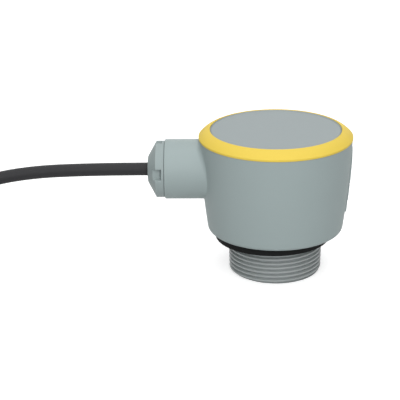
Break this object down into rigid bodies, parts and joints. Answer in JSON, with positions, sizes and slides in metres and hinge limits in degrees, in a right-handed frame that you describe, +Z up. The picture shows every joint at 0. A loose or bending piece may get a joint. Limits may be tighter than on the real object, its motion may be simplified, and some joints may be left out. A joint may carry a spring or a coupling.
{
  "type": "radar level sensor",
  "caption": "Compact radar level sensor: short round plastic housing with a coloured lid ring, pipe thread and flat gasket below, side cable gland and fixed black cable.",
  "frame": {"origin": "on the process thread's axis at the sealing plane, the gasket's lower face", "axes": "+Z up out of the tank along the thread's axis, -X along the cable neck, +Y level and square to both"},
  "size_m": [0.3306, 0.1245, 0.0749],
  "materials": {
    "housing": "fine moulded grey-green",
    "lid": "smooth light grey",
    "trim": "moulded yellow, slight sheen",
    "seal_rubber": "matt black",
    "thread_plastic": "smooth grey, fluoropolymer",
    "nut_plastic": "moulded grey",
    "inner_plastic": "moulded black",
    "slip_plastic": "natural white",
    "horn_metal": "turned",
    "board": "green solder resist",
    "chip": "moulded black",
    "sheet_metal": "tinned sheet",
    "fasteners": "zinc plated",
    "ferrite": "dark grey",
    "can_metal": "drawn can",
    "terminal_plastic": "moulded green",
    "core_brown": "brown insulation",
    "core_blue": "blue insulation",
    "cable_jacket": "black jacket, soft sheen",
    "tie_plastic": "black nylon",
    "tinned_copper": "tinned"
  },
  "bodies": {
    "sensor": {"housing": "housing", "lid_disc": "lid", "lid_seal": "seal_rubber", "trim_ring": "trim", "process_gasket": "seal_rubber", "process_fitting": "thread_plastic", "fitting_seal": "seal_rubber", "fitting_locknut": "inner_plastic", "antenna_horn": "horn_metal", "radar_board": "board", "radar_chip": "chip", "radar_shield": "sheet_metal", "radar_screws": "fasteners", "electronics_carrier": "inner_plastic", "carrier_screws": "fasteners", "main_board": "board", "board_screws": "fasteners", "board_link": "chip", "power_choke": "ferrite", "capacitors": "can_metal", "processor": "chip", "terminal_block": "terminal_plastic", "terminal_screws": "fasteners", "lead_brown": "core_brown", "lead_blue": "core_blue", "gland_claws": "slip_plastic", "gland_grommet": "seal_rubber", "cable_lead": "cable_jacket", "cable_coil": "cable_jacket", "cable_tail": "cable_jacket", "coil_ties": "tie_plastic", "end_core_brown": "core_brown", "end_core_blue": "core_blue", "end_sleeves": "tinned_copper"},
    "slip_ring": {"gland_slip_ring": "slip_plastic"},
    "nut": {"gland_nut": "nut_plastic"}
  },
  "joints": [
    {"name": "slip_ring_slide", "type": "slide", "parent": "sensor", "child": "slip_ring", "axis": [-1, 0, 0], "range_m": [0, 0.0031]},
    {"name": "gland_nut_turn", "type": "hinge", "parent": "slip_ring", "child": "nut", "pos_m": [-0.06, 0, 0.03593], "axis": [-1, 0, 0], "range_deg": [0, 720]}
  ],
  "couplings": [
    {"joint": "slip_ring_slide", "follows": "gland_nut_turn", "m_per_rad": 0.00023873}
  ]
}
